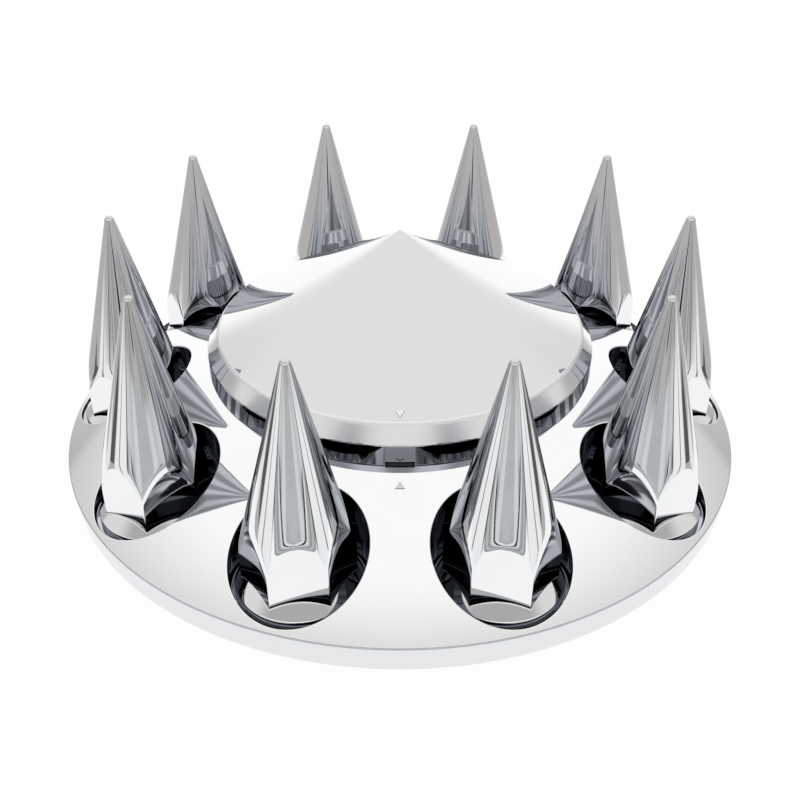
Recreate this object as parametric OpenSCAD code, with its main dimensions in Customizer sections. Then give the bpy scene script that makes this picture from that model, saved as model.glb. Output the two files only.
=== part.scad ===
// Front axle cover for a ten-stud truck wheel: a domed cover that the wheel nuts hold,
// a pointed hub cap on its neck, and a spike nut cover in each of its ten pockets.
// Z = 0 is the plane of the rim's edge, the Z axis is the wheel's axle, the arrow marks face -Y.

/* [Wheel] */
// Diameter of the circle that the wheel studs stand on
stud_circle_d = 285.75; // [230:0.25:350]
// Size of the wheel nuts across their flats
nut_size = 33; // [27:0.5:41]

/* [Nut covers] */
// Gap between a nut's corners and the bore of its cover
nut_gap = 0.35; // [0.2:0.05:1]
// Wall between the bore and the middle of a hexagon flat
nut_cover_wall = 2.85; // [2:0.05:5]
// Height of the arched top of a hexagon flat above the foot
hex_h = 36.4; // [32:0.1:46]
// Height above the foot at which the sides of the spike would meet
point_h = 122.7; // [90:0.1:160]
// Radius of the rounded tip
tip_r = 2.4; // [1:0.1:4]
// Width of the flange outside the hexagon's corners
flange_lip = 2.8; // [1.5:0.1:6]
// Thickness of the flange at its edge
flange_edge_h = 3.7; // [2:0.1:6]
// Rise of the flange's sloping top for each millimetre inwards
flange_rise = 0.93; // [0.4:0.01:1.2]

/* [Axle cover] */
// Thickness of the moulded walls
wall = 3; // [2:0.1:4]
// Radius of the sphere that the face is part of
dome_r = 325; // [280:5:600]
// Height of the rim wall
rim_h = 13; // [10:0.5:30]
// How much narrower the rim wall is at its edge than at its top, on the radius
rim_draft = 1.2; // [0:0.1:2]
// Depth of the pocket floors below the top of the rim wall
floor_drop = 1; // [0.5:0.1:4]
// Gap between a nut cover's flange and the pocket's wall
pocket_gap = 2.5; // [1.5:0.1:6]
// Land between the pockets and the outside of the rim
rim_land = 2.6; // [2:0.1:20]
// Gap between a nut's corners and the edge of its hole
hole_gap = 0.95; // [0.5:0.05:3]
// Height of the neck that the hub cap pushes onto
neck_h = 7; // [4:0.5:8]
// Thickness of the ribs between the pockets
rib_t = 2; // [1.5:0.1:3]
// Depth of the ribs below the wall
rib_depth = 8; // [4:0.5:14]

/* [Hub cap] */
// Land between the pockets and the hub cap
cap_land = 12; // [4:0.5:30]
// Thickness of the hub cap's wall
cap_wall = 2.5; // [2:0.1:3.5]
// Height of the upright wall
cap_wall_h = 11; // [9:0.5:25]
// Width of the bevel band, seen from above
bevel_w = 5.7; // [3:0.1:12]
// Height of the bevel band
bevel_h = 8; // [5:0.1:14]
// Height of the cone above the bevel band
cone_h = 51.8; // [20:0.1:80]
// Radius of the rounded point
point_r = 1; // [0.5:0.1:5]
// Number of gussets that sit on the neck
gussets = 8; // [4:1:16]
// Width of the pry notch
notch_w = 13.5; // [6:0.5:25]
// Height of the pry notch
notch_h = 2; // [1:0.5:4]

/* [Arrow marks] */
// Width of the arrow marks
mark_w = 4.4; // [2:0.1:8]
// How far the arrow marks stand out
mark_out = 0.4; // [0.2:0.1:1]

/* [Hidden] */
$fn = 180;
stud_count = 10;
seat_gap = 0.3;
over = 1;
chrome = "gainsboro";

// How far each nut cover is screwed round: the angle from +X to one of its hexagon's corners
nut_turn = [25, 58, 10, 50, 2, 35, 28, 5, 55, 32];

// Nut cover, measured from its own foot
nut_corner_r = nut_size / 2 / cos(30);
bore_r = nut_corner_r + nut_gap;
lead_in = 1;
hex_flat_r = bore_r + nut_cover_wall;
hex_corner_r = hex_flat_r / cos(30);
flange_r = hex_corner_r + flange_lip;
flange_top_z = flange_edge_h + flange_rise * (flange_r - bore_r);
half_angle = atan(hex_flat_r / (point_h - hex_h));
tip_z = point_h - tip_r / sin(half_angle);
cone_foot_z = flange_edge_h / 2;
hollow_point_h = point_h - nut_cover_wall / sin(half_angle);
hollow_end_r = tip_r / 2;
socket_h = hollow_point_h - bore_r / tan(half_angle);
hollow_end_z = hollow_point_h - hollow_end_r / tan(half_angle);

// Axle cover
pocket_r = flange_r + pocket_gap;
hole_r = nut_corner_r + hole_gap;
stud_r = stud_circle_d / 2;
rim_r = stud_r + pocket_r + rim_land;
floor_z = rim_h - floor_drop;
foot_z = floor_z + seat_gap;
dome_z = rim_h - sqrt(dome_r * dome_r - rim_r * rim_r);
dome_top = dome_z + dome_r;
section_top = dome_top + cap_wall_h;

// Hub cap
cap_r = stud_r - pocket_r - cap_land;
cap_in_r = cap_r - cap_wall;
cap_z = face_z(cap_r) + seat_gap;
cap_in_z = face_z(cap_in_r) + seat_gap;
bevel_r = cap_r - bevel_w;
bevel_z = cap_z + cap_wall_h;
cone_z = bevel_z + bevel_h;
cone_slope = atan(cone_h / bevel_r);
bevel_slope = atan(bevel_h / bevel_w);
point_z = cone_z + cone_h - point_r / cos(cone_slope);
grip_h = 0.5;
gusset_t = 2;
gusset_w = 9;

// Neck inside the hub cap
neck_r = cap_in_r - grip_h - seat_gap;
neck_top = face_z(neck_r) + neck_h;
gusset_z = neck_top + seat_gap;

// Arrow marks, measured from the axle to their middles
cap_mark_r = bevel_r - 1.1 * mark_w;
face_mark_r = cap_r + 2.3 * mark_w;

// Height of the face at a distance from the axle
function face_z(r) = dome_z + sqrt(dome_r * dome_r - r * r);

// Height of the hub cap's cone at a distance from the axle
function cone_at(r) = cone_z + cone_h * (1 - r / bevel_r);

// Distance from the axle to the rim wall's outside at a height
function rim_at(z) = rim_r - rim_draft * (1 - z / rim_h);

// Half section of all that lies under a sphere of the face, inside the rim wall's outside moved in by inset
module under_dome(sphere_r, inset, from_z) {
  intersection() {
    translate([0, dome_z]) circle(r = sphere_r);
    polygon([
      [0, from_z],
      [rim_at(from_z) - inset, from_z],
      [rim_at(section_top) - inset, section_top],
      [0, section_top]
    ]);
  }
}

// Solid outside of the axle cover with its neck, before it is hollowed
module cover_outside() {
  rotate_extrude()
  union() {
    under_dome(dome_r, 0, 0);
    square([neck_r, neck_top]);
  }
}

// Cup wall round one pocket, as deep as the pocket's floor is thick
module cup(i) {
  rotate(36 * i) translate([stud_r, 0, floor_z - wall])
  cylinder(r = pocket_r + wall, h = section_top);
}

// Rib between two pockets, under the face
module rib(i) {
  rib_from = stud_r - pocket_r - wall;
  difference() {
    rotate(36 * i + 18) translate([rib_from, -rib_t / 2, -over])
    cube([rim_r - rib_from, rib_t, section_top]);
    rotate_extrude() under_dome(dome_r - wall - rib_depth, -over, -2 * over);
  }
}

// Space under the face, left free by the cups and ribs
module cover_hollow() {
  difference() {
    rotate_extrude() under_dome(dome_r - wall, wall, -over);
    for (i = [0 : stud_count - 1]) cup(i);
    for (i = [0 : stud_count - 1]) rib(i);
  }
}

// Pocket for one nut cover, with the hole that the wheel nut comes through
module pocket(i) {
  rotate(36 * i) translate([stud_r, 0, 0]) {
    translate([0, 0, floor_z]) cylinder(r = pocket_r, h = section_top);
    translate([0, 0, -over]) cylinder(r = hole_r, h = section_top);
  }
}

// Raised triangle with its point along +X, standing on z = 0
module mark() {
  translate([0, 0, -over])
  cylinder(r = mark_w / sqrt(3), h = over + mark_out, $fn = 3);
}

module axle_cover() {
  color(chrome)
  union() {
    difference() {
      cover_outside();
      cover_hollow();
      translate([0, 0, -over]) cylinder(r = neck_r - wall, h = section_top + 2 * over);
      for (i = [0 : stud_count - 1]) pocket(i);
    }
    translate([0, -face_mark_r, face_z(face_mark_r)])
    rotate([asin(face_mark_r / dome_r), 0, 0]) rotate(90) mark();
  }
}

// Half section of the hub cap's outside, its foot sloping with the face
module cap_section() {
  union() {
    polygon([
      [0, cap_in_z],
      [cap_in_r, cap_in_z],
      [cap_r, cap_z],
      [cap_r, bevel_z],
      [bevel_r, cone_z],
      [point_r * sin(cone_slope), cone_at(point_r * sin(cone_slope))],
      [0, cone_at(point_r * sin(cone_slope))]
    ]);
    intersection() {
      translate([0, point_z]) circle(r = point_r);
      translate([0, point_z]) square(2 * point_r);
    }
  }
}

// Half section of the hub cap's inside, open at the bottom
module cap_hollow_section() {
  in_bevel_drop = cap_wall / cos(bevel_slope);
  in_cone_drop = cap_wall / cos(cone_slope);
  low = cap_z - over;
  intersection() {
    translate([0, low]) square([cap_in_r, cone_z + cone_h]);
    polygon([
      [0, low],
      [cap_r, low],
      [cap_r, bevel_z - in_bevel_drop],
      [0, bevel_z - in_bevel_drop + cap_r * tan(bevel_slope)]
    ]);
    polygon([
      [0, low],
      [cap_r, low],
      [cap_r, cone_at(cap_r) - in_cone_drop],
      [0, cone_at(0) - in_cone_drop]
    ]);
  }
}

// Gussets that sit on the neck, and the ribs below them that grip its side
module cap_supports() {
  grip_z = face_z(cap_in_r - grip_h) + seat_gap;
  for (i = [0 : gussets - 1]) rotate((i + 0.5) * 360 / gussets) {
    translate([cap_in_r - gusset_w, -gusset_t / 2, gusset_z])
    cube([gusset_w + over, gusset_t, cone_h]);
    translate([cap_in_r - grip_h, -gusset_t / 2, grip_z])
    cube([grip_h + over, gusset_t, gusset_z + over - grip_z]);
  }
}

module hub_cap() {
  color(chrome)
  union() {
    difference() {
      rotate_extrude() cap_section();
      rotate_extrude() cap_hollow_section();
      translate([-notch_w / 2, -cap_r - over, cap_z - over])
      cube([notch_w, cap_wall * 2 + over, notch_h + over]);
    }
    intersection() {
      cap_supports();
      rotate_extrude() cap_section();
    }
    translate([0, -cap_mark_r, cone_at(cap_mark_r)])
    rotate([cone_slope, 0, 0]) rotate(-90) mark();
  }
}

// Half section of the spike down to its hexagon's foot
module spike_section() {
  tangent_r = tip_r * cos(half_angle);
  tangent_z = tip_z + tip_r * sin(half_angle);
  union() {
    polygon([
      [0, cone_foot_z],
      [(point_h - cone_foot_z) * tan(half_angle), cone_foot_z],
      [tangent_r, tangent_z],
      [0, tangent_z]
    ]);
    intersection() {
      translate([0, tip_z]) circle(r = tip_r);
      translate([0, tip_z]) square(2 * tip_r);
    }
  }
}

// Half section of the flange
module flange_section() {
  polygon([
    [0, 0],
    [flange_r, 0],
    [flange_r, flange_edge_h],
    [bore_r, flange_top_z],
    [0, flange_top_z]
  ]);
}

// Half section of the nut socket and the hollow above it
module socket_section() {
  polygon([
    [0, -over],
    [bore_r + lead_in + over, -over],
    [bore_r, lead_in],
    [bore_r, socket_h],
    [hollow_end_r, hollow_end_z],
    [0, hollow_end_z]
  ]);
}

// Nut cover in pocket i, counted anticlockwise from +X
module nut_cover(i) {
  color(chrome)
  rotate(36 * i) translate([stud_r, 0, foot_z]) rotate(nut_turn[i] - 36 * i)
  difference() {
    union() {
      intersection() {
        rotate_extrude() spike_section();
        cylinder(r = hex_corner_r, h = point_h, $fn = 6);
      }
      rotate_extrude() flange_section();
    }
    rotate_extrude() socket_section();
  }
}

module nut_cover_01() { nut_cover(0); }
module nut_cover_02() { nut_cover(1); }
module nut_cover_03() { nut_cover(2); }
module nut_cover_04() { nut_cover(3); }
module nut_cover_05() { nut_cover(4); }
module nut_cover_06() { nut_cover(5); }
module nut_cover_07() { nut_cover(6); }
module nut_cover_08() { nut_cover(7); }
module nut_cover_09() { nut_cover(8); }
module nut_cover_10() { nut_cover(9); }

axle_cover();
hub_cap();
nut_cover_01();
nut_cover_02();
nut_cover_03();
nut_cover_04();
nut_cover_05();
nut_cover_06();
nut_cover_07();
nut_cover_08();
nut_cover_09();
nut_cover_10();
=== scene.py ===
import math

import bmesh
import bpy
import numpy as np
from mathutils import Matrix, Vector


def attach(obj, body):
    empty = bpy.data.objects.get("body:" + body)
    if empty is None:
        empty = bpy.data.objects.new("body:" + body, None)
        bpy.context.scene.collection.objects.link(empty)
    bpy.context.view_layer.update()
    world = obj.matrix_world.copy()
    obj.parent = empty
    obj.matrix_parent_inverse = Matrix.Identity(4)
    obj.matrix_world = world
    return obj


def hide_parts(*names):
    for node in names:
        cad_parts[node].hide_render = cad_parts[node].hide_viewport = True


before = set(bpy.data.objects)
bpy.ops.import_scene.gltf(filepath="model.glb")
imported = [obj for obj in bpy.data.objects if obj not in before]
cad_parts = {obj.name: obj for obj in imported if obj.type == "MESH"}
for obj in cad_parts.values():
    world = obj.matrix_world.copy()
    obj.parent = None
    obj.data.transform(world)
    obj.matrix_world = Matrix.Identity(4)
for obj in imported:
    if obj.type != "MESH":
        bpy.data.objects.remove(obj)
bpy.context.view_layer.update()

# ---------------------------------------------------------------- axle cover
# The domed cover that sits on the wheel: one plastic moulding, chrome plated all over, with ten
# round pockets. It is moulded with cups, ribs and a neck inside. The wheel nuts hold it.

# Sizes are in millimetres. R is a distance from the axle, or from a pocket's own axis, and Z is a
# height above the rim's edge, which lies against the wheel.
MM = 0.001
SAME_POINT = 2e-6  # metres
STUDS = 10
STUD_R = 142.875
POCKET_R = 30.995
HOLE_R = 20.003
HOLE_EDGE = 0.4
CUP_R = 33.995
FLOOR_Z = 12.0
FLOOR_BACK_Z = 9.0
DOME_R = 325.0
DOME_BACK_R = 322.0
RIB_LOW_R = 314.0  # the sphere that the ribs' lower edges lie on
DOME_Z = -259.92
RIM_R = 176.47
RIM_TOP = 13.0
RIM_FOOT_R = 175.27
RIM_BACK_R = 173.15
RIM_BACK_FOOT_R = 172.27
RIM_FOOT_EDGE = 0.5
NECK_R = 96.58
NECK_BORE_R = 93.58
NECK_TOP = 57.40
NECK_EDGE = 0.6
POCKET_LIP = 0.55
RIM_LIP = 0.5
POCKET_FILLET = 1.2
RIB_T = 2.0
RIB_FROM_R = 108.885
RIB_SUNK = 0.3
RIB_STEPS = 17
MARK_W = 4.4
MARK_OUT = 0.4
MARK_SUNK = 0.5
FACE_MARK_R = 110.0

# Places in a piece's list of finishes: the first two are in every list, and the others are the axle
# cover's own.
OUTSIDE, INSIDE = 0, 1
POCKET_SHADE, ON_FACE_MARK, ON_RIM = 2, 3, 4

# How fine the noise is in the plating's tone, its gloss and its ripple.
TONE_GRAIN, GLOSS_GRAIN, RIPPLE_GRAIN = 60, 400, 35


def chrome_finish(name, tone, tone_drift, gloss, gloss_drift, ripple, sides=None):
    """Bright plating on moulded plastic: a little drift in tone and gloss, and the faint ripple of the
    moulding, in metres. sides is the tone and gloss away from the front, and the two angles, in degrees
    from the front, that they come in between. The front faces the camera, so the side tone is a painted
    reflection: the plating's tone changes with the angle from the camera's side."""
    finish = bpy.data.materials.new(name)
    finish.use_nodes = True
    tree = finish.node_tree
    nodes, links = tree.nodes, tree.links
    shader = nodes["Principled BSDF"]
    shader.inputs["Metallic"].default_value = 1.0
    place = nodes.new("ShaderNodeTexCoord")

    def drift(scale, detail, low, high):
        cloud = nodes.new("ShaderNodeTexNoise")
        cloud.inputs["Scale"].default_value = scale
        cloud.inputs["Detail"].default_value = detail
        links.new(place.outputs["Object"], cloud.inputs["Vector"])
        spread = nodes.new("ShaderNodeMapRange")
        for end, value in (("From Min", 0.3), ("From Max", 0.7), ("To Min", low), ("To Max", high)):
            spread.inputs[end].default_value = value
        links.new(cloud.outputs["Fac"], spread.inputs["Value"])
        return spread.outputs["Result"]

    shade = nodes.new("ShaderNodeMix")
    shade.data_type = "RGBA"
    shade.inputs["A"].default_value = (*(c - tone_drift for c in tone), 1)
    shade.inputs["B"].default_value = (*tone, 1)
    links.new(drift(TONE_GRAIN, 3, 0, 1), shade.inputs["Factor"])
    colour = shade.outputs["Result"]
    polish = drift(GLOSS_GRAIN, 4, gloss, gloss + gloss_drift)
    if sides:
        painted_side_tone, side_gloss, start, end = sides
        parts = nodes.new("ShaderNodeSeparateXYZ")
        links.new(place.outputs["Object"], parts.inputs[0])
        angle = nodes.new("ShaderNodeMath")
        angle.operation = "ARCTAN2"
        links.new(parts.outputs["Y"], angle.inputs[0])
        across = nodes.new("ShaderNodeMath")
        across.operation = "ABSOLUTE"
        links.new(parts.outputs["X"], across.inputs[0])
        links.new(across.outputs[0], angle.inputs[1])
        share = nodes.new("ShaderNodeMapRange")
        share.interpolation_type = "SMOOTHSTEP"
        # the front is on -Y, so an angle above the X axis is 90 degrees less than one from the front
        share.inputs["From Min"].default_value = math.radians(start - 90)
        share.inputs["From Max"].default_value = math.radians(end - 90)
        links.new(angle.outputs[0], share.inputs["Value"])
        # painted reflection: the tone turns from the front's to the side's by the angle from the camera's side
        turned = nodes.new("ShaderNodeMix")
        turned.data_type = "RGBA"
        turned.inputs["B"].default_value = (*painted_side_tone, 1)
        links.new(colour, turned.inputs["A"])
        links.new(share.outputs["Result"], turned.inputs["Factor"])
        colour = turned.outputs["Result"]
        smoother = nodes.new("ShaderNodeMix")
        smoother.inputs["B"].default_value = side_gloss
        links.new(polish, smoother.inputs["A"])
        links.new(share.outputs["Result"], smoother.inputs["Factor"])
        polish = smoother.outputs["Result"]
    links.new(colour, shader.inputs["Base Color"])
    links.new(polish, shader.inputs["Roughness"])
    relief = nodes.new("ShaderNodeBump")
    relief.inputs["Strength"].default_value = 1.0
    relief.inputs["Distance"].default_value = ripple
    links.new(drift(RIPPLE_GRAIN, 1, 0, 1), relief.inputs["Height"])
    links.new(relief.outputs["Normal"], shader.inputs["Normal"])
    return finish


def rounding(start, corner, end, steps):
    """Rows of points from start to end, drawn towards corner; each of the three is a row of points."""
    t = np.linspace(0, 1, steps + 1)[:, None, None]
    return (1 - t) ** 2 * start + 2 * t * (1 - t) * corner + t ** 2 * end


def straight(start, end, steps):
    """Rows of points straight from one row to another."""
    t = np.linspace(0, 1, steps + 1)[:, None, None]
    return (1 - t) * start + t * end


def at(radius, turn, height):
    """Points at a distance from the axis, an angle in radians and a height."""
    radius, turn, height = np.broadcast_arrays(radius, turn, height)
    return np.stack([radius * np.cos(turn), radius * np.sin(turn), height], axis=-1)


class Skin:
    """Patches of a moulding's surface, each a grid of points in millimetres, gathered into one mesh."""

    def __init__(self):
        self.points, self.faces, self.shine, self.looks, self.count = [], [], [], [], 0

    def patch(self, grid, closed=False, centre=None, look=OUTSIDE):
        """Adds a grid of rows and columns. closed joins its last column to its first, centre is the middle
        of the sphere that it lies on, where it does, and look is its place in the list of finishes."""
        rows, cols = grid.shape[:2]
        if centre is not None:
            normal = grid - np.array(centre)
        else:
            across = np.gradient(grid, axis=0, edge_order=2 if rows > 2 else 1)
            if closed:
                along = np.roll(grid, -1, 1) - np.roll(grid, 1, 1)
            else:
                along = np.gradient(grid, axis=1, edge_order=2 if cols > 2 else 1)
            normal = np.cross(along, across)
        tiny = 1e-9
        length = np.linalg.norm(normal, axis=-1, keepdims=True)
        normal = np.where(length > tiny, normal / np.maximum(length, tiny), 0)
        if centre is not None and np.sum(normal[:, :, 2]) < 0:
            normal = -normal
        index = np.arange(rows * cols).reshape(rows, cols) + self.count
        right = np.roll(index, -1, 1) if closed else index[:, 1:]
        left = index if closed else index[:, :-1]
        quads = np.stack([left[:-1], right[:-1], right[1:], left[1:]], axis=-1).reshape(-1, 4)
        points = grid.reshape(-1, 3)
        corners = points[quads - self.count]
        spread = np.cross(corners[:, 2] - corners[:, 0], corners[:, 3] - corners[:, 1])
        no_area = 1e-7
        quads = quads[np.linalg.norm(spread, axis=-1) > no_area]
        self.points.append(points)
        self.shine.append(normal.reshape(-1, 3))
        self.faces.append(quads)
        self.looks.append(np.full(len(quads), look))
        self.count += rows * cols

    def mesh(self, name):
        """The mesh, in metres. The true direction of the surface is kept on each corner as its parts away
        from the axis, round it and up, so that it still holds when the mesh is turned about the axis."""
        points = np.concatenate(self.points)
        shine = np.concatenate(self.shine)
        faces = np.concatenate(self.faces)
        mesh = bpy.data.meshes.new(name)
        mesh.from_pydata((points * MM).tolist(), [], faces.tolist())
        looks = np.concatenate(self.looks).astype(np.int32)
        mesh.attributes.new("look", "INT", "FACE").data.foreach_set("value", looks)
        corner = faces.reshape(-1)
        turn = np.arctan2(points[:, 1], points[:, 0])
        out = shine[:, 0] * np.cos(turn) + shine[:, 1] * np.sin(turn)
        along = shine[:, 1] * np.cos(turn) - shine[:, 0] * np.sin(turn)
        kept = np.stack([out, along, shine[:, 2]], axis=-1)[corner]
        mesh.attributes.new("shine", "FLOAT_VECTOR", "CORNER").data.foreach_set("vector", kept.reshape(-1))
        return mesh


def ring_tree():
    """Repeats a part round the Z axis, joins the copies where they meet, and gives them their finish."""
    tree = bpy.data.node_groups.new("ring of like parts", "GeometryNodeTree")
    face = tree.interface
    face.new_socket("Part", in_out="INPUT", socket_type="NodeSocketGeometry")
    face.new_socket("Copies", in_out="INPUT", socket_type="NodeSocketInt")
    face.new_socket("First turn", in_out="INPUT", socket_type="NodeSocketFloat")
    face.new_socket("Join within", in_out="INPUT", socket_type="NodeSocketFloat")
    face.new_socket("Finish", in_out="INPUT", socket_type="NodeSocketMaterial")
    face.new_socket("Ring", in_out="OUTPUT", socket_type="NodeSocketGeometry")
    nodes, links = tree.nodes, tree.links
    given, made = nodes.new("NodeGroupInput"), nodes.new("NodeGroupOutput")
    row = nodes.new("GeometryNodeMeshLine")
    row.inputs["Offset"].default_value = (0, 0, 0)
    links.new(given.outputs["Copies"], row.inputs["Count"])
    number = nodes.new("GeometryNodeInputIndex")
    step = nodes.new("ShaderNodeMath")
    step.operation = "DIVIDE"
    step.inputs[0].default_value = 2 * math.pi
    links.new(given.outputs["Copies"], step.inputs[1])
    turn = nodes.new("ShaderNodeMath")
    turn.operation = "MULTIPLY_ADD"
    links.new(number.outputs[0], turn.inputs[0])
    links.new(step.outputs[0], turn.inputs[1])
    links.new(given.outputs["First turn"], turn.inputs[2])
    angle = nodes.new("ShaderNodeCombineXYZ")
    links.new(turn.outputs[0], angle.inputs["Z"])
    copies = nodes.new("GeometryNodeInstanceOnPoints")
    links.new(row.outputs["Mesh"], copies.inputs["Points"])
    links.new(given.outputs["Part"], copies.inputs["Instance"])
    links.new(angle.outputs[0], copies.inputs["Rotation"])
    real = nodes.new("GeometryNodeRealizeInstances")
    links.new(copies.outputs[0], real.inputs[0])
    joined = nodes.new("GeometryNodeMergeByDistance")
    links.new(real.outputs[0], joined.inputs["Geometry"])
    links.new(given.outputs["Join within"], joined.inputs["Distance"])
    finish = nodes.new("GeometryNodeSetMaterial")
    links.new(joined.outputs[0], finish.inputs["Geometry"])
    links.new(given.outputs["Finish"], finish.inputs["Material"])
    links.new(finish.outputs[0], made.inputs[0])
    return tree


ring_of_parts = ring_tree()


def run_tree(part, tree, settings):
    """Runs a tree on a mesh and returns the plain mesh that it makes."""
    holder = bpy.data.objects.new(part.name, part)
    bpy.context.scene.collection.objects.link(holder)
    step = holder.modifiers.new("shape", "NODES")
    step.node_group = tree
    for item in tree.interface.items_tree:
        if item.in_out == "INPUT" and item.name in settings:
            step[item.identifier] = settings[item.name]
    view = bpy.context.evaluated_depsgraph_get()
    made = bpy.data.meshes.new_from_object(holder.evaluated_get(view), depsgraph=view)
    holder.modifiers.remove(step)
    bpy.data.objects.remove(holder)
    return made


def ring(part, copies, finish, first_turn=0.0):
    """A part repeated round the axis; first_turn is in radians."""
    return run_tree(part, ring_of_parts, {"Copies": copies, "First turn": first_turn,
                                          "Join within": SAME_POINT, "Finish": finish})


def prism(name, outline, thickness):
    """A flat rib: its outline as distances from the axis and heights, with its middle plane along +X."""
    flat = bmesh.new()
    half = thickness / 2
    sides = [[flat.verts.new((r * MM, y * MM, z * MM)) for r, z in outline] for y in (-half, half)]
    flat.faces.new(sides[0])
    flat.faces.new(sides[1][::-1])
    for k in range(len(outline)):
        j = (k + 1) % len(outline)
        flat.faces.new([sides[0][j], sides[0][k], sides[1][k], sides[1][j]])
    bmesh.ops.recalc_face_normals(flat, faces=flat.faces)
    mesh = bpy.data.meshes.new(name)
    flat.to_mesh(mesh)
    flat.free()
    return mesh


def arrow_mark(name):
    """A raised triangle with softened edges, its point along +X and its foot sunk below z = 0."""
    tri = bmesh.new()
    levels = []
    for size, z in ((1.0, -MARK_SUNK), (1.0, MARK_OUT * 0.7), (0.94, MARK_OUT)):
        r = MARK_W / math.sqrt(3) * size
        levels.append([tri.verts.new((r * math.cos(a) * MM, r * math.sin(a) * MM, z * MM))
                       for a in (0, 2 * math.pi / 3, 4 * math.pi / 3)])
    for low, high in zip(levels, levels[1:]):
        for k in range(3):
            j = (k + 1) % 3
            tri.faces.new([low[k], low[j], high[j], high[k]])
    tri.faces.new(levels[-1])
    tri.faces.new(levels[0][::-1])
    mesh = bpy.data.meshes.new(name)
    tri.to_mesh(mesh)
    tri.free()
    return mesh


def set_down(mesh, turn, tilt, place):
    """Turns a small part about Z, tilts it about X and puts it in its place, in millimetres."""
    mesh.transform(Matrix.Translation(Vector(place) * MM) @ Matrix.Rotation(tilt, 4, "X")
                   @ Matrix.Rotation(turn, 4, "Z"))
    return mesh


def read_array(store, field, kind, width=1):
    """One field of a mesh's points, corners or faces as an array, with a row for each."""
    values = np.zeros(len(store) * width, kind)
    store.foreach_get(field, values)
    return values.reshape(-1, width) if width > 1 else values


def joined_piece(name, main, extras, finishes, body, node, turn=0.0, place=(0, 0, 0)):
    """One moulding from its skin and the parts moulded on it, each with its look. It is turned about Z, in
    radians, put in its place, in millimetres, and shines by the true directions of its surface."""
    whole = bmesh.new()
    whole.from_mesh(main)
    shine_layer = whole.loops.layers.float_vector["shine"]
    look_layer = whole.faces.layers.int["look"]
    for extra, look in extras:
        before = len(whole.faces)
        whole.from_mesh(extra)
        whole.faces.ensure_lookup_table()
        for face in whole.faces[before:]:
            face.smooth = False
            face[look_layer] = look
            for corner in face.loops:
                corner[shine_layer] = (0, 0, 0)
    mesh = bpy.data.meshes.new(name)
    whole.to_mesh(mesh)
    whole.free()

    # the true directions where the skin has them, and the flat faces' own elsewhere
    kept = read_array(mesh.attributes["shine"].data, "vector", np.float32, 3)
    points = read_array(mesh.vertices, "co", np.float32, 3)
    corner = read_array(mesh.loops, "vertex_index", np.int32)
    angle = np.arctan2(points[:, 1], points[:, 0])[corner]
    normal = np.stack([kept[:, 0] * np.cos(angle) - kept[:, 1] * np.sin(angle),
                       kept[:, 0] * np.sin(angle) + kept[:, 1] * np.cos(angle), kept[:, 2]], axis=-1)
    unset = np.linalg.norm(kept, axis=-1) < 0.5
    normal[unset] = read_array(mesh.corner_normals, "vector", np.float32, 3)[unset]

    c, s = math.cos(turn), math.sin(turn)
    spin = np.array([[c, -s, 0], [s, c, 0], [0, 0, 1]])
    normal = normal @ spin.T
    points = points @ spin.T + np.array(place) * MM
    mesh.attributes.remove(mesh.attributes["shine"])
    looks = read_array(mesh.attributes["look"].data, "value", np.int32)
    mesh.attributes.remove(mesh.attributes["look"])
    mesh.materials.clear()
    for finish in finishes:
        mesh.materials.append(finish)
    mesh.polygons.foreach_set("material_index", looks)
    mesh.vertices.foreach_set("co", points.astype(np.float32).reshape(-1))
    mesh.update()
    mesh.normals_split_custom_set(normal.astype(np.float32))
    piece = bpy.data.objects.new(name, mesh)
    bpy.context.scene.collection.objects.link(piece)
    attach(piece, body)
    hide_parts(node)


def dome(radius, distance):
    """Height of a sphere of the face at a distance from the axle."""
    return DOME_Z + np.sqrt(radius ** 2 - distance ** 2)


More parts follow.
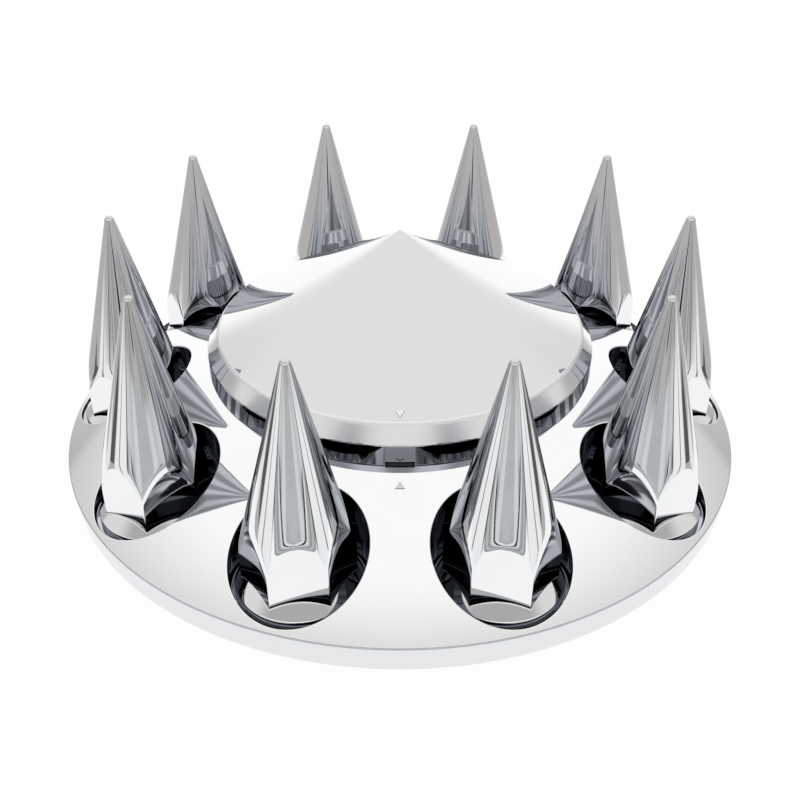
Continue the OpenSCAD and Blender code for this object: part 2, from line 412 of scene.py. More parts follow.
def pocket_sector():
    """A tenth of the axle cover, with its pocket on +X. Face, pocket and inside are drawn along spokes
    from the pocket's middle to the sector's outline."""
    skin = Skin()
    half = math.pi / STUDS
    # the angle, round the axle, at which the cup's wall runs into the rim's
    cup_turn = math.acos((RIM_BACK_R ** 2 - STUD_R ** 2 - CUP_R ** 2) / (2 * STUD_R * CUP_R))
    cross = math.atan2(CUP_R * math.sin(cup_turn), STUD_R + CUP_R * math.cos(cup_turn))
    third = 17
    outer = np.concatenate([np.linspace(-half, -cross, third), np.linspace(-cross, cross, third),
                            np.linspace(cross, half, third)])
    on_land = np.arange(len(outer)) // third == 1
    side = np.linspace(1, 0, 33)[1:]
    arc = np.linspace(half, -half, 25)
    inner = arc[1:]

    def outline(r_in, r_out):
        """The sector's outline from above, anticlockwise from the rim's right corner."""
        edge = r_in + side * (r_out - r_in)
        radius = np.concatenate([np.full(len(outer), r_out), edge, np.full(len(inner), r_in), edge[::-1][1:]])
        angle = np.concatenate([outer, np.full(len(side), half), inner, np.full(len(side) - 1, -half)])
        return at(radius, angle, 0)[:, :2]

    top = outline(NECK_R, RIM_R - RIM_LIP)
    back = outline(NECK_BORE_R, RIM_BACK_R)
    middle = np.array([STUD_R, 0])

    def spoke(target):
        away = target - middle
        return away / np.linalg.norm(away, axis=-1, keepdims=True)

    top_way, back_way = spoke(top), spoke(back)

    def lift(plan, height):
        return np.concatenate([plan, np.broadcast_to(height, plan.shape[:-1])[..., None]], axis=-1)

    def on_dome(plan, radius):
        return lift(plan, dome(radius, np.linalg.norm(plan, axis=-1)))

    # face
    t = np.linspace(0, 1, 15)[:, None, None]
    lip_plan = middle + (POCKET_R + POCKET_LIP) * top_way
    skin.patch(on_dome((1 - t) * top + t * lip_plan, DOME_R), True, (0, 0, DOME_Z))

    # pocket: lip, wall, fillet, floor, hole
    wall_plan = middle + POCKET_R * top_way
    lip_top = on_dome(wall_plan, DOME_R)
    lip_end = lip_top - np.array([0, 0, POCKET_LIP])
    skin.patch(rounding(on_dome(lip_plan, DOME_R), lip_top, lip_end, 5), True)
    # next to the rim, the face is so low that the fillet starts just under the lip
    wall_end = lift(wall_plan, FLOOR_Z + POCKET_FILLET)
    wall_end[:, 2] = np.minimum(wall_end[:, 2], lip_end[:, 2] - 0.01)
    floor_start = lift(middle + (POCKET_R - POCKET_FILLET) * top_way, FLOOR_Z)
    floor_end = lift(middle + (HOLE_R + HOLE_EDGE) * top_way, FLOOR_Z)
    hole_plan = middle + HOLE_R * top_way
    hole_top = lift(hole_plan, FLOOR_Z - HOLE_EDGE)
    back_hole = lift(middle + HOLE_R * back_way, FLOOR_BACK_Z)
    # painted shade: the pocket's wall, floor and hole take a darker plating for the shade deep in the pocket
    for rows in (straight(lip_end, wall_end, 5),
                 rounding(wall_end, lift(wall_plan, FLOOR_Z), floor_start, 4),
                 straight(floor_start, floor_end, 4),
                 rounding(floor_end, lift(hole_plan, FLOOR_Z), hole_top, 3),
                 straight(hole_top, back_hole, 2)):
        skin.patch(rows, True, look=POCKET_SHADE)

    # back of the floor, cup wall, inside of the dome
    land = np.zeros(len(back), bool)
    land[:len(outer)] = on_land
    cup_plan = np.where(land[:, None], back, middle + CUP_R * back_way)
    cup_top = np.where(land, FLOOR_BACK_Z, dome(DOME_BACK_R, np.linalg.norm(cup_plan, axis=-1)))
    skin.patch(straight(back_hole, lift(cup_plan, FLOOR_BACK_Z), 3), True, look=INSIDE)
    skin.patch(straight(lift(cup_plan, FLOOR_BACK_Z), lift(cup_plan, cup_top), 3), True, look=INSIDE)
    inside = on_dome((1 - t[::2]) * cup_plan + t[::2] * back, DOME_BACK_R)
    inside[:, land, 2] = FLOOR_BACK_Z
    skin.patch(inside, True, look=INSIDE)

    # rim wall and the foot of the cover
    rim_edge = at(RIM_R - RIM_LIP, outer, dome(DOME_R, RIM_R - RIM_LIP))
    draft = (RIM_R - RIM_FOOT_R) / RIM_TOP
    rim_low = at(RIM_R - draft * RIM_LIP, outer, RIM_TOP - RIM_LIP)
    foot_top = at(RIM_FOOT_R + draft * RIM_FOOT_EDGE, outer, RIM_FOOT_EDGE)
    foot = at(RIM_FOOT_R - RIM_FOOT_EDGE, outer, 0.0)
    # the rim's rounded top edge takes the same darker pocket plating
    skin.patch(rounding(rim_edge, at(RIM_R, outer, RIM_TOP), rim_low, 5)[::-1], look=POCKET_SHADE)
    # painted reflection: the rim wall and its foot take the darker rim plating
    skin.patch(straight(rim_low, foot_top, 5)[::-1], look=ON_RIM)
    skin.patch(rounding(foot_top, at(RIM_FOOT_R, outer, 0.0), foot, 4)[::-1], look=ON_RIM)
    foot_in = at(RIM_BACK_FOOT_R, outer, 0.0)
    skin.patch(straight(foot, foot_in, 2)[::-1], look=INSIDE)
    wall_mid = at(RIM_BACK_R, outer, FLOOR_BACK_Z)
    wall_top = at(RIM_BACK_R, outer, np.where(on_land, FLOOR_BACK_Z, dome(DOME_BACK_R, RIM_BACK_R)))
    skin.patch(straight(foot_in, wall_mid, 3)[::-1], look=INSIDE)
    skin.patch(straight(wall_mid, wall_top, 3)[::-1], look=INSIDE)

    # neck that the hub cap pushes onto
    neck_foot = at(NECK_R, arc, dome(DOME_R, NECK_R))
    neck_edge = at(NECK_R, arc, NECK_TOP - NECK_EDGE)
    crown_out = at(NECK_R - NECK_EDGE, arc, NECK_TOP)
    crown_in = at(NECK_BORE_R + NECK_EDGE, arc, NECK_TOP)
    bore_top = at(NECK_BORE_R, arc, NECK_TOP - NECK_EDGE)
    bore_foot = at(NECK_BORE_R, arc, dome(DOME_BACK_R, NECK_BORE_R))
    skin.patch(straight(neck_foot, neck_edge, 3)[::-1])
    skin.patch(rounding(neck_edge, at(NECK_R, arc, NECK_TOP), crown_out, 3)[::-1])
    skin.patch(straight(crown_out, crown_in, 2)[::-1])
    skin.patch(rounding(crown_in, at(NECK_BORE_R, arc, NECK_TOP), bore_top, 3)[::-1])
    skin.patch(straight(bore_top, bore_foot, 3)[::-1], look=INSIDE)
    return skin.mesh("pocket sector")


face_chrome = chrome_finish("bright plating", (0.975, 0.98, 0.985), 0.01, 0.02, 0.015, 0.00001)
back_chrome = chrome_finish("thin plating inside", (0.40, 0.41, 0.43), 0.06, 0.20, 0.10, 0.00002)
# painted shade: darker plating for the shade deep in the pockets
pocket_shade_chrome = chrome_finish("plating darkened as painted pocket shade", (0.60, 0.62, 0.66), 0.02, 0.03, 0.03, 0.00002)
# painted reflection: the rim wall's plating is a little darker, standing in for the greyer floor it mirrors
rim_reflection_chrome = chrome_finish("rim wall plating, darker as painted reflection", (0.845, 0.855, 0.87), 0.01, 0.02, 0.015, 0.00001)
mark_chrome = chrome_finish("satin plating on the face mark", (0.80, 0.805, 0.81), 0.02, 0.45, 0.05, 0.00002)

rib_r = np.linspace(RIB_FROM_R, RIM_BACK_R + RIB_SUNK, RIB_STEPS)
rib_outline = [(r, dome(DOME_BACK_R, r) + RIB_SUNK) for r in rib_r]
rib_outline += [(r, dome(RIB_LOW_R, r)) for r in rib_r[::-1]]
ribs = ring(prism("rib", rib_outline, RIB_T), STUDS, back_chrome, math.pi / STUDS)

face_mark = set_down(arrow_mark("face mark"), math.pi / 2, math.asin(FACE_MARK_R / DOME_R),
                     (0, -FACE_MARK_R, dome(DOME_R, FACE_MARK_R)))
cover_skin = ring(pocket_sector(), STUDS, face_chrome)
joined_piece("axle_cover_plated", cover_skin, [(ribs, INSIDE), (face_mark, ON_FACE_MARK)],
             [face_chrome, back_chrome, pocket_shade_chrome, mark_chrome, rim_reflection_chrome], "cover_body", "axle_cover")

# ---------------------------------------------------------------- hub cap
# The low pointed cap in the middle: one plastic moulding, chrome plated, pushed onto the neck. Ribs on
# its wall grip the neck, gussets stop it on the neck's top, and a notch at the front lets it be pried off.

CAP_R = 99.88
CAP_BORE_R = 97.38
CAP_Z = 49.65
CAP_BORE_Z = 50.45
CAP_WALL_TOP = 60.65
BEVEL_R = 94.18
CONE_Z = 68.65
CONE_H = 51.8
CONE_SLOPE = math.atan2(CONE_H, BEVEL_R)
BEVEL_SLOPE = math.atan2(CONE_Z - CAP_WALL_TOP, CAP_R - BEVEL_R)
POINT_R = 1.0
HOLLOW_TOP_R = 0.4
CAP_SKIN = 2.5
WALL_EDGE = 0.5
CONE_EDGE = 1.2
FOOT_EDGE = 0.5
NOTCH_W = 13.5
NOTCH_H = 2.0
NOTCH_STEPS = 9
CAP_STEPS = 352
GUSSETS = 8
GUSSET_T = 2.0
GUSSET_Z = 57.70
CAP_MARK_R = 89.34
CAP_MARK_AND_HIGHLIGHT, ON_BEVEL, ON_CAP_WALL = 2, 3, 4


def cone_at(radius):
    """Height of the cap's cone at a distance from the axle."""
    return CONE_Z + CONE_H * (1 - radius / BEVEL_R)


def hub_cap_mesh():
    """The cap turned from its half section, with the pry notch cut in its foot."""
    half = math.asin(NOTCH_W / 2 / CAP_R)
    turn = np.concatenate([[-half], np.linspace(-half, half, NOTCH_STEPS), [half],
                           np.linspace(half, 2 * math.pi - half, CAP_STEPS)[1:-1]]) - math.pi / 2
    notched = np.zeros(len(turn))
    notched[1:NOTCH_STEPS + 1] = NOTCH_H

    def ring_at(radius, height):
        return at(radius, turn, height)

    # outside, from the foot to the point
    skin = Skin()
    foot_low = ring_at(CAP_R, CAP_Z + notched + FOOT_EDGE)
    wall_low = ring_at(CAP_R, CAP_Z + NOTCH_H + FOOT_EDGE)
    wall_end = ring_at(CAP_R, CAP_WALL_TOP - WALL_EDGE)
    bevel_start = ring_at(CAP_R - WALL_EDGE * math.cos(BEVEL_SLOPE),
                          CAP_WALL_TOP + WALL_EDGE * math.sin(BEVEL_SLOPE))
    bevel_end = ring_at(BEVEL_R + CONE_EDGE * math.cos(BEVEL_SLOPE),
                        CONE_Z - CONE_EDGE * math.sin(BEVEL_SLOPE))
    cone_start = ring_at(BEVEL_R - CONE_EDGE * math.cos(CONE_SLOPE),
                         CONE_Z + CONE_EDGE * math.sin(CONE_SLOPE))
    tip_middle = cone_at(0) - POINT_R / math.cos(CONE_SLOPE)
    cone_end = ring_at(POINT_R * math.sin(CONE_SLOPE), tip_middle + POINT_R * math.cos(CONE_SLOPE))
    skin.patch(straight(foot_low, wall_low, 1), True, look=ON_CAP_WALL)
    skin.patch(straight(wall_low, wall_end, 5), True, look=ON_CAP_WALL)
    skin.patch(rounding(wall_end, ring_at(CAP_R, CAP_WALL_TOP), bevel_start, 5), True)
    skin.patch(straight(bevel_start, bevel_end, 5), True, look=ON_BEVEL)
    # painted highlight: the rounded edge from the bevel to the cone takes the mark's lighter satin plating, a
    # pale line
    skin.patch(rounding(bevel_end, ring_at(BEVEL_R, CONE_Z), cone_start, 5), True, look=CAP_MARK_AND_HIGHLIGHT)
    # the rows crowd towards the point
    cone_steps = (np.linspace(1, 0, 19) ** 1.3)[:, None, None]
    skin.patch(cone_steps * cone_start + (1 - cone_steps) * cone_end, True)
    up = np.linspace(math.pi / 2 - CONE_SLOPE, math.pi / 2, 6)
    skin.patch(np.stack([ring_at(POINT_R * math.cos(a), tip_middle + POINT_R * math.sin(a)) for a in up]),
               True, (0, 0, tip_middle))

    # foot and inside, from the foot to the top of the hollow
    bore_low = ring_at(CAP_BORE_R, CAP_BORE_Z + notched)
    bore_next = ring_at(CAP_BORE_R, CAP_BORE_Z + NOTCH_H)
    bevel_drop = CAP_SKIN / math.cos(BEVEL_SLOPE)
    cone_drop = CAP_SKIN / math.cos(CONE_SLOPE)
    bore_top = ring_at(CAP_BORE_R, CAP_WALL_TOP - bevel_drop + (CAP_R - CAP_BORE_R) * math.tan(BEVEL_SLOPE))
    bevel_peak = CAP_WALL_TOP - bevel_drop + CAP_R * math.tan(BEVEL_SLOPE)
    meet_r = (cone_at(0) - cone_drop - bevel_peak) / (CONE_H / BEVEL_R - math.tan(BEVEL_SLOPE))
    meet = ring_at(meet_r, cone_at(meet_r) - cone_drop)
    top_z = cone_at(HOLLOW_TOP_R) - cone_drop
    top_in = ring_at(HOLLOW_TOP_R, top_z)
    foot_slope = (CAP_BORE_Z - CAP_Z) / (CAP_R - CAP_BORE_R)
    foot_in = ring_at(CAP_R - FOOT_EDGE, CAP_Z + notched + foot_slope * FOOT_EDGE)
    skin.patch(rounding(foot_in, ring_at(CAP_R, CAP_Z + notched), foot_low, 4), True, look=ON_CAP_WALL)
    # painted light: the foot's underside also takes the mark's lighter satin plating
    skin.patch(straight(bore_low, foot_in, 2), True, look=CAP_MARK_AND_HIGHLIGHT)
    for start, end, steps in ((bore_next, bore_low, 1), (bore_top, bore_next, 4), (meet, bore_top, 3),
                              (top_in, meet, 12), (ring_at(0, top_z), top_in, 1)):
        skin.patch(straight(start, end, steps), True, look=INSIDE)
    return skin.mesh("hub cap skin")


# a gusset's outline, with the grip rib below it, as distances from the axle and heights
gusset_outline = [(88.38, GUSSET_Z), (96.88, GUSSET_Z), (96.88, 50.9), (97.6, 50.9), (97.6, 60.1),
                  (92.6, 67.0), (88.38, 69.3)]

# painted reflection: the cap's cone is plated a flat grey at the front, lighter towards its sides and back
cap_reflection_chrome = chrome_finish("cap plating with painted reflection", (0.76, 0.76, 0.762), 0.01, 0.02, 0.015, 0.00001,
                           ((0.95, 0.955, 0.965), 0.03, 58, 88))
# painted reflection: the bevel is darker at the front and lighter towards its sides and back
bevel_reflection_chrome = chrome_finish("bevel plating with painted reflection", (0.86, 0.86, 0.862), 0.01, 0.34, 0.03, 0.00001,
                             ((0.97, 0.975, 0.985), 0.06, 38, 62))
# painted reflection: the cap's side wall and foot edge take a cooler, bluer copy of the plating
cap_wall_tint_chrome = chrome_finish("cap wall plating with painted cool reflection", (0.93, 0.945, 0.97), 0.02, 0.02, 0.015, 0.00001)
# the cap mark's satin plating, also used for a painted highlight on the cone's edge and painted light under the
# foot
cap_mark_and_highlight_chrome = chrome_finish("satin plating on the cap mark and painted highlights", (0.97, 0.975, 0.98), 0.01, 0.42, 0.05, 0.00002)
gussets = ring(prism("gusset", gusset_outline, GUSSET_T), GUSSETS, back_chrome, math.pi / GUSSETS)
cap_mark = set_down(arrow_mark("cap mark"), -math.pi / 2, CONE_SLOPE,
                    (0, -CAP_MARK_R, cone_at(CAP_MARK_R)))
cap_skin = hub_cap_mesh()
weld = bmesh.new()
weld.from_mesh(cap_skin)
bmesh.ops.remove_doubles(weld, verts=weld.verts, dist=SAME_POINT)
weld.to_mesh(cap_skin)
weld.free()
joined_piece("hub_cap_plated", cap_skin, [(gussets, INSIDE), (cap_mark, CAP_MARK_AND_HIGHLIGHT)],
             [cap_reflection_chrome, back_chrome, cap_mark_and_highlight_chrome, bevel_reflection_chrome, cap_wall_tint_chrome], "hub_cap_body", "hub_cap")

# ---------------------------------------------------------------- nut covers
# Ten tall spikes: each one plastic moulding, chrome plated. A hexagon base runs up into a round spike,
# and a coarse thread in its socket screws onto the wheel nut until the flange clamps the axle cover.

# FOOT_Z is where a nut cover's foot stands. The other heights are above that foot, and the distances
# are from the nut cover's own axis.
FOOT_Z = 12.3
BORE_R = 19.403
BORE_LEAD = 1.0
HEX_FLAT_R = 22.253
HEX_CORNER_R = 25.695
FLANGE_R = 28.495
FLANGE_EDGE = 3.7
FLANGE_RISE = 0.93
FLANGE_FOOT_ROUND = 0.3
FLANGE_TOP_ROUND = 0.45
CREASE = 0.35
POINT_H = 122.7
HALF_ANGLE = math.radians(14.4588)
TIP_R = 2.4
SOCKET_TOP = 36.04
HOLLOW_END_R = 1.2
HOLLOW_END_Z = 106.63
CORNER_ROUND = 0.7
EASE = 1.2
THREAD_RISE = 3.0
THREAD_TURNS = 9
THREAD_STEPS = 48
THREAD_RIDGE = 0.6
THREAD_FOOT = 3.5
NUT_TURN = (25, 58, 10, 50, 2, 35, 28, 5, 55, 32)  # degrees
ON_TIP = 2


def hexagon_radius(turn):
    """Distance from the axis to the hexagon, its corners rounded; turn is measured from a corner."""
    off = np.abs((turn + math.pi / 6) % (math.pi / 3) - math.pi / 6)
    flat = HEX_FLAT_R / np.cos(math.pi / 6 - off)
    middle = HEX_CORNER_R - CORNER_ROUND / math.cos(math.pi / 6)
    bend = middle * np.cos(off) + np.sqrt(np.maximum(CORNER_ROUND ** 2 - (middle * np.sin(off)) ** 2, 0))
    end = math.atan2(0.5 * CORNER_ROUND, HEX_CORNER_R - CORNER_ROUND * math.tan(math.pi / 6) / 2)
    return np.where(off < end, bend, flat)


def spike_radius(turn, height):
    """The round spike cut by the six flats, eased into them."""
    cone = (POINT_H - height) * math.tan(HALF_ANGLE)
    flat = hexagon_radius(turn)
    near = np.maximum(EASE - np.abs(cone - flat), 0) / EASE
    return np.minimum(cone, flat) - near ** 2 * EASE / 4


def hexagon_sector():
    """A sixth of a nut cover, from one corner of the hexagon to the next."""
    skin = Skin()
    # the columns crowd towards the corners, where the surface bends most
    u = np.linspace(-1, 1, 41)
    turn = math.radians(30) * (0.16 * u + 0.84 * np.sin(math.pi / 2 * u)) + math.radians(30)

    def ring_at(radius, height):
        return at(radius, turn, height)

    # flange, from its foot
    wall = hexagon_radius(turn)
    meet_z = FLANGE_EDGE + FLANGE_RISE * (FLANGE_R - wall)
    slope = math.atan(FLANGE_RISE)
    mouth = ring_at(BORE_R + BORE_LEAD, 0)
    foot_end = ring_at(FLANGE_R - FLANGE_FOOT_ROUND, 0)
    edge_low = ring_at(FLANGE_R, FLANGE_FOOT_ROUND)
    edge_high = ring_at(FLANGE_R, FLANGE_EDGE - FLANGE_TOP_ROUND)
    top_start = ring_at(FLANGE_R - FLANGE_TOP_ROUND * math.cos(slope),
                        FLANGE_EDGE + FLANGE_TOP_ROUND * math.sin(slope))
    top_end = ring_at(wall + CREASE * math.cos(slope), meet_z - CREASE * math.sin(slope))
    side_z = meet_z + CREASE
    side = ring_at(spike_radius(turn, side_z), side_z)
    for rows in (straight(mouth, foot_end, 3), rounding(foot_end, ring_at(FLANGE_R, 0), edge_low, 3),
                 straight(edge_low, edge_high, 3),
                 rounding(edge_high, ring_at(FLANGE_R, FLANGE_EDGE), top_start, 4),
                 straight(top_start, top_end, 6), rounding(top_end, ring_at(wall, meet_z), side, 3)):
        skin.patch(rows)

    # hexagon, spike and tip
    tip_z = POINT_H - TIP_R / math.sin(HALF_ANGLE)
    end_z = tip_z + TIP_R * math.sin(HALF_ANGLE)
    t = np.linspace(0, 1, 49)[:, None]
    height = side_z + (end_z - side_z) * t
    skin.patch(at(spike_radius(turn[None, :], height), turn[None, :], height))
    up = np.linspace(HALF_ANGLE, math.pi / 2, 9)
    skin.patch(np.stack([ring_at(TIP_R * math.cos(a), tip_z + TIP_R * math.sin(a)) for a in up]),
               centre=(0, 0, tip_z), look=ON_TIP)

    # socket and the hollow in the spike
    lead, socket_top = ring_at(BORE_R, BORE_LEAD), ring_at(BORE_R, SOCKET_TOP)
    hollow_end = ring_at(HOLLOW_END_R, HOLLOW_END_Z)
    for start, end, steps in ((mouth, lead, 1), (lead, socket_top, 6), (socket_top, hollow_end, 6),
                              (hollow_end, ring_at(0, HOLLOW_END_Z), 1)):
        skin.patch(straight(start, end, steps)[::-1], look=INSIDE)
    return skin.mesh("hexagon sector")


def thread_tree():
    """A coarse thread: a ridge swept along a rising spiral in the socket's wall."""
    tree = bpy.data.node_groups.new("socket thread", "GeometryNodeTree")
    face = tree.interface
    for name, kind in (("Part", "Geometry"), ("Radius", "Float"), ("Height", "Float"), ("Turns", "Float"),
                       ("Ridge", "Float"), ("Foot", "Float"), ("Finish", "Material")):
        face.new_socket(name, in_out="INPUT", socket_type="NodeSocket" + kind)
    face.new_socket("Thread", in_out="OUTPUT", socket_type="NodeSocketGeometry")
    nodes, links = tree.nodes, tree.links
    given, made = nodes.new("NodeGroupInput"), nodes.new("NodeGroupOutput")
    spiral = nodes.new("GeometryNodeCurveSpiral")
    spiral.inputs["Resolution"].default_value = THREAD_STEPS
    links.new(given.outputs["Turns"], spiral.inputs["Rotations"])
    links.new(given.outputs["Radius"], spiral.inputs["Start Radius"])
    links.new(given.outputs["Radius"], spiral.inputs["End Radius"])
    links.new(given.outputs["Height"], spiral.inputs["Height"])
    ridge = nodes.new("GeometryNodeCurvePrimitiveCircle")
    ridge.inputs["Resolution"].default_value = 6
    links.new(given.outputs["Ridge"], ridge.inputs["Radius"])
    swept = nodes.new("GeometryNodeCurveToMesh")
    swept.inputs["Fill Caps"].default_value = True
    links.new(spiral.outputs[0], swept.inputs["Curve"])
    links.new(ridge.outputs[0], swept.inputs["Profile Curve"])
    raised = nodes.new("GeometryNodeTransform")
    foot = nodes.new("ShaderNodeCombineXYZ")
    links.new(given.outputs["Foot"], foot.inputs["Z"])
    links.new(foot.outputs[0], raised.inputs["Translation"])
    links.new(swept.outputs[0], raised.inputs["Geometry"])
    real = nodes.new("GeometryNodeRealizeInstances")
    links.new(raised.outputs[0], real.inputs[0])
    finish = nodes.new("GeometryNodeSetMaterial")
    links.new(real.outputs[0], finish.inputs["Geometry"])
    links.new(given.outputs["Finish"], finish.inputs["Material"])
    links.new(finish.outputs[0], made.inputs[0])
    return tree


spike_chrome = chrome_finish("spike plating", (0.955, 0.965, 0.975), 0.02, 0.02, 0.02, 0.00002)
# painted reflection: the tip's plating is darker, so that the tip shows grey in its middle
tip_reflection_chrome = chrome_finish("plating on the tip, darker as painted reflection", (0.74, 0.745, 0.755), 0.02, 0.06, 0.02, 0.00001)
thread = run_tree(bpy.data.meshes.new("thread"), thread_tree(),
                  {"Radius": BORE_R * MM, "Height": THREAD_RISE * THREAD_TURNS * MM,
                   "Turns": float(THREAD_TURNS), "Ridge": THREAD_RIDGE * MM, "Foot": THREAD_FOOT * MM,
                   "Finish": back_chrome})
spike_skin = ring(hexagon_sector(), 6, spike_chrome)
for k, corner_turn in enumerate(NUT_TURN):
    way = math.radians(360 / STUDS * k)
    number = f"{k + 1:02d}"
    joined_piece(f"nut_cover_{number}_plated", spike_skin, [(thread, INSIDE)],
                 [spike_chrome, back_chrome, tip_reflection_chrome], f"nut_cover_{number}_body", f"nut_cover_{number}",
                 math.radians(corner_turn), (STUD_R * math.cos(way), STUD_R * math.sin(way), FOOT_Z))

# ---------------------------------------------------------------- studio
# A white floor, a soft pale studio round it, and the camera where the photograph was taken from.


class Tone:
    """A value in a shader tree, so that the studio's light is written as plain sums."""

    def __init__(self, tree, socket):
        self.tree, self.socket = tree, socket

    def sum(self, kind, *others):
        node = self.tree.nodes.new("ShaderNodeMath")
        node.operation = kind
        for slot, value in enumerate((self, *others)):
            if isinstance(value, Tone):
                self.tree.links.new(value.socket, node.inputs[slot])
            else:
                node.inputs[slot].default_value = value
        return Tone(self.tree, node.outputs[0])

    def __add__(self, other):
        return self.sum("ADD", other)

    def __mul__(self, other):
        return self.sum("MULTIPLY", other)

    def fade(self, start, end, low=0.0, high=1.0):
        """Runs smoothly from low to high as this value goes from start to end."""
        node = self.tree.nodes.new("ShaderNodeMapRange")
        node.interpolation_type = "SMOOTHSTEP"
        self.tree.links.new(self.socket, node.inputs["Value"])
        for name, value in (("From Min", start), ("From Max", end), ("To Min", low), ("To Max", high)):
            if isinstance(value, Tone):
                self.tree.links.new(value.socket, node.inputs[name])
            else:
                node.inputs[name].default_value = value
        return Tone(self.tree, node.outputs["Result"])


# What is left of the studio's light after each reflection in the metal beyond the first.
LEFT_EACH_TIME = 0.45


def blend_tone(share, low, high):
    """low where share is 0, high where it is 1."""
    return share.fade(0, 1, low, high)


def between(value, low, high, soft):
    """1 between low and high, fading to 0 over soft on either side."""
    return value.fade(low - soft, low) * value.fade(high, high + soft, 1.0, 0.0)


def light_so_far(tree):
    """The light path's outputs, whether the camera sees the place directly, how many reflections in the
    metal the light has made beyond the first, and what they leave of it."""
    path = tree.nodes.new("ShaderNodeLightPath").outputs
    bounces = (Tone(tree, path["Glossy Depth"]) + -1).sum("MAXIMUM", 0)
    left = (bounces * math.log(LEFT_EACH_TIME)).sum("EXPONENT")
    return path, Tone(tree, path["Is Camera Ray"]), bounces, left


studio = bpy.data.worlds.new("studio")
studio.use_nodes = True
bpy.context.scene.world = studio
air = studio.node_tree
air.nodes.clear()
direction = air.nodes.new("ShaderNodeTexCoord")
split = air.nodes.new("ShaderNodeSeparateXYZ")
air.links.new(direction.outputs["Generated"], split.inputs[0])
x, y, z = (Tone(air, split.outputs[k]) for k in range(3))

# Angles are in degrees: rise is above the horizon, and azimuth is 0 towards the camera and grows to the
# left. Tones run from 0, black, to 1, the plain level.
degrees = 180 / math.pi
rise = z.sum("ARCSINE") * degrees
azimuth = (x * -1).sum("ARCTAN2", y * -1) * degrees
off_front = azimuth.sum("ABSOLUTE")

# above: a bright roof behind the object, greyer towards its edge, then a white band and the far wall
bright_rise = math.radians(60)
to_bright = (y * math.cos(bright_rise) + z * math.sin(bright_rise)).sum("ARCCOSINE") * degrees
roof = to_bright.fade(36, 64, 0.97, 0.61)
far_wall = off_front.fade(50, 85, 0.42, 0.72)
upper = blend_tone(to_bright.fade(61, 66), roof, blend_tone(to_bright.fade(71, 75), far_wall, 0.97))

# low beside the object: a grey room with white strips, a seam and a dark edge
room = blend_tone(off_front.fade(115, 160), 0.45, blend_tone(rise.fade(-30, -5), 0.74, 0.60))
room = blend_tone(between(off_front, 48, 79, 3) * rise.fade(-10, -2, 1.0, 0.0), room, 0.85)
room = blend_tone(between(off_front, 66.5, 68, 1) * rise.fade(-10, -2, 1.0, 0.0), room, 0.25)
room = blend_tone(between(off_front, 84, 97, 3) * between(rise, -19, -13.5, 1), room, 0.10)
room = blend_tone(between(off_front, 99, 113, 3) * rise.fade(-20, -18, 1.0, 0.0), room, 0.80)

# low in front: an oval glow with rings round its foot, a black line up its middle and thin streaks
bend = 1.2
below = ((rise + 8).sum("MINIMUM", 0) * (1 / 8.5)).sum("ABSOLUTE")
oval = ((off_front * (1 / 38)).sum("POWER", bend) + below.sum("POWER", bend)).sum("POWER", 1 / bend)
ringed = rise.fade(-10, -8.5, 1.0, 0.0)
glow_tone = blend_tone(ringed, off_front.fade(20, 40, 0.47, 0.62), oval.fade(0.45, 0.98, 0.50, 0.36))
glow_tone = blend_tone(between(off_front, 18, 23, 6), glow_tone, 0.66)
glow_tone = blend_tone(oval.fade(0.70, 0.90) * rise.fade(-14, -11, 1.0, 0.0), glow_tone, 0.80)
for start, tone in ((0.955, 0.03), (1.05, 0.72), (1.17, 0.40), (1.30, 0.20), (1.34, 0.48), (1.50, 0.30)):
    glow_tone = blend_tone(oval.fade(start, start + 0.02) * ringed, glow_tone, tone)
glow_tone = blend_tone(oval.fade(1.58, 1.64), glow_tone, 0.94)
glow_tone = blend_tone(rise.fade(-7, -1), glow_tone, 0.46)
glow_tone = blend_tone(off_front.fade(2.5, 5.0, 1.0, 0.0) * rise.fade(-2, 0), glow_tone, 0.02)
for place in (13, 19, 24, 33, 40):
    streak = between(off_front, place, place + 1.2, 0.7) * between(rise, -3, 3.5, 1.5)
    glow_tone = blend_tone(streak, glow_tone, 0.14)

# the dark line between the glow and the room, the pale floor far below, and what is behind
low_band = blend_tone(off_front.fade(44, 48), glow_tone, room)
edge_line = between(off_front, 45.2, 46.6, 1.2) * rise.fade(-16, -12) * rise.fade(0, 4, 1.0, 0.0)
low_band = blend_tone(edge_line, low_band, 0.05)
low_band = blend_tone(rise.fade(-26, -23), 0.94, low_band)
side_light = blend_tone(rise.fade(7, 15), low_band, upper)
back_light = blend_tone(rise.fade(25, 45), 1.0, roof)
light = blend_tone(off_front.fade(138, 152), side_light, back_light)

# light that has been in the metal before: stripes, 9 degrees and 70 degrees apart, and a dark card
_, seen, bounces, left = light_so_far(air)
deep = bounces.sum("MINIMUM", 1)
stripes = (azimuth * (2 * math.pi / 9)).sum("SINE").fade(-0.3, 0.6, 0.30, 1.35)
light = light * blend_tone(deep * rise.fade(12, 22, 1.0, 0.0) * off_front.fade(6, 11), 1.0, stripes)
wide_stripes = (off_front * (2 * math.pi / 70)).sum("COSINE").fade(-0.9, 0.8, 1.22, 0.60)
light = light * blend_tone(deep * rise.fade(28, 40), 1.0, wide_stripes)
card = between(off_front, 13, 31, 1.5) * between(rise, 13.5, 19, 1) * deep
light = blend_tone(card, light, 0.012)
level = blend_tone(seen, light * left, 1.0)

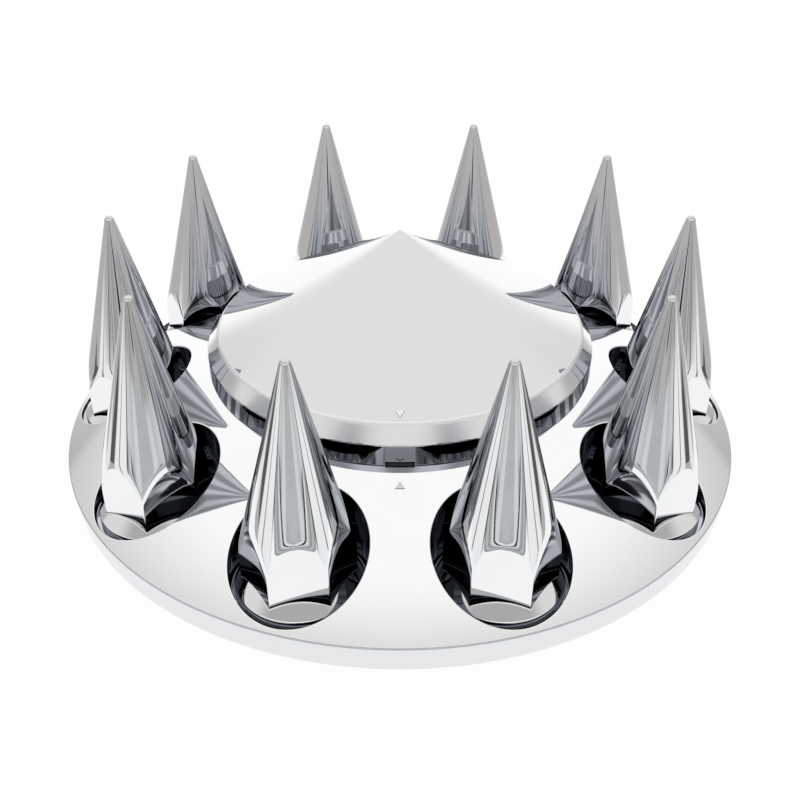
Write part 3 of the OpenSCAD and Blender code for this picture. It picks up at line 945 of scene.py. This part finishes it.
# cool in front and warm beside and above, then white where it is bright, and bluer with each reflection
tint = (0.94, 0.99, 1.0, 1)
for share, colour in ((off_front.fade(25, 60).sum("MAXIMUM", rise.fade(-6, -1)), (1.0, 0.965, 0.965, 1)),
                      (seen.sum("MAXIMUM", light.fade(0.5, 0.9)), (1, 1, 1, 1)),
                      (bounces.fade(0, 1.5, 0.0, 0.9), (0.91, 0.97, 1.07, 1))):
    mix = air.nodes.new("ShaderNodeMix")
    mix.data_type = "RGBA"
    air.links.new(share.socket, mix.inputs["Factor"])
    mix.inputs["B"].default_value = colour
    if isinstance(tint, tuple):
        mix.inputs["A"].default_value = tint
    else:
        air.links.new(tint, mix.inputs["A"])
    tint = mix.outputs["Result"]
glow = air.nodes.new("ShaderNodeBackground")
air.links.new(level.socket, glow.inputs["Strength"])
air.links.new(tint, glow.inputs["Color"])
out = air.nodes.new("ShaderNodeOutputWorld")
air.links.new(glow.outputs[0], out.inputs["Surface"])

# The floor is plain white paper. It shows as the background does, and keeps a little of the shadow.
NEAR_FLOOR_R = 0.245  # metres, as are the other sizes from here on
FAR_FLOOR_R = 3.0
FLOOR_DROP = 0.0002
FLOOR_SIDES = 96
paper = bpy.data.materials.new("white floor")


def floor_ring(name, inner, outer, in_metal):
    """A flat ring of the floor, or a disc where inner is 0. in_metal says whether the metal mirrors it."""
    turns = np.linspace(0, 2 * math.pi, FLOOR_SIDES + 1)[:-1]
    rim = [(outer * math.cos(a), outer * math.sin(a), -FLOOR_DROP) for a in turns]
    mesh = bpy.data.meshes.new(name)
    if inner:
        hole = [(inner * math.cos(a), inner * math.sin(a), -FLOOR_DROP) for a in turns]
        quads = [[k, (k + 1) % FLOOR_SIDES, FLOOR_SIDES + (k + 1) % FLOOR_SIDES, FLOOR_SIDES + k]
                 for k in range(FLOOR_SIDES)]
        mesh.from_pydata(rim + hole, [], quads)
    else:
        mesh.from_pydata(rim, [], [list(range(FLOOR_SIDES))])
    mesh.materials.append(paper)
    piece = bpy.data.objects.new(name, mesh)
    piece.visible_glossy = in_metal
    bpy.context.scene.collection.objects.link(piece)


floor_ring("floor", 0, NEAR_FLOOR_R, True)
floor_ring("far floor", NEAR_FLOOR_R, FAR_FLOOR_R, False)
paper.use_nodes = True
sheet = paper.node_tree
sheet.nodes.clear()
path, seen, _, left = light_so_far(sheet)
mirrored = Tone(sheet, path["Is Glossy Ray"]).sum("MAXIMUM", Tone(sheet, path["Is Transmission Ray"]))
plain = sheet.nodes.new("ShaderNodeBsdfDiffuse")
plain.inputs["Color"].default_value = (0.9, 0.9, 0.9, 1)
lit = sheet.nodes.new("ShaderNodeEmission")
sheet.links.new(blend_tone(seen, left * 0.94, 1.0).socket, lit.inputs["Strength"])
shown = sheet.nodes.new("ShaderNodeMixShader")
sheet.links.new((seen * 0.96).sum("MAXIMUM", mirrored).socket, shown.inputs[0])
sheet.links.new(plain.outputs[0], shown.inputs[1])
sheet.links.new(lit.outputs[0], shown.inputs[2])
out = sheet.nodes.new("ShaderNodeOutputMaterial")
sheet.links.new(shown.outputs[0], out.inputs["Surface"])

lamp = bpy.data.lights.new("soft lamp", "AREA")
lamp.energy = 4
lamp.size = 1.2
soft_lamp = bpy.data.objects.new("soft lamp", lamp)
soft_lamp.location = (0, 0.9, 1.8)
soft_lamp.rotation_euler = (math.radians(-27), 0, 0)
soft_lamp.visible_camera = False
soft_lamp.visible_glossy = False
bpy.context.scene.collection.objects.link(soft_lamp)

# The camera stands EYE_OUT in front of the axle and EYE_UP above the wheel, and looks at LOOK_UP on the
# axle.
EYE_OUT, EYE_UP, LOOK_UP = 0.4804, 0.3359, 0.0196
eye = bpy.data.cameras.new("camera")
eye.lens = 47.32
eye.sensor_width = 36
eye.clip_start = 0.01
camera = bpy.data.objects.new("camera", eye)
camera.location = (0, -EYE_OUT, EYE_UP)
camera.rotation_euler = (math.atan2(EYE_OUT, EYE_UP - LOOK_UP), 0, 0)
bpy.context.scene.collection.objects.link(camera)
bpy.context.scene.camera = camera
bpy.context.scene.view_settings.view_transform = "Standard"
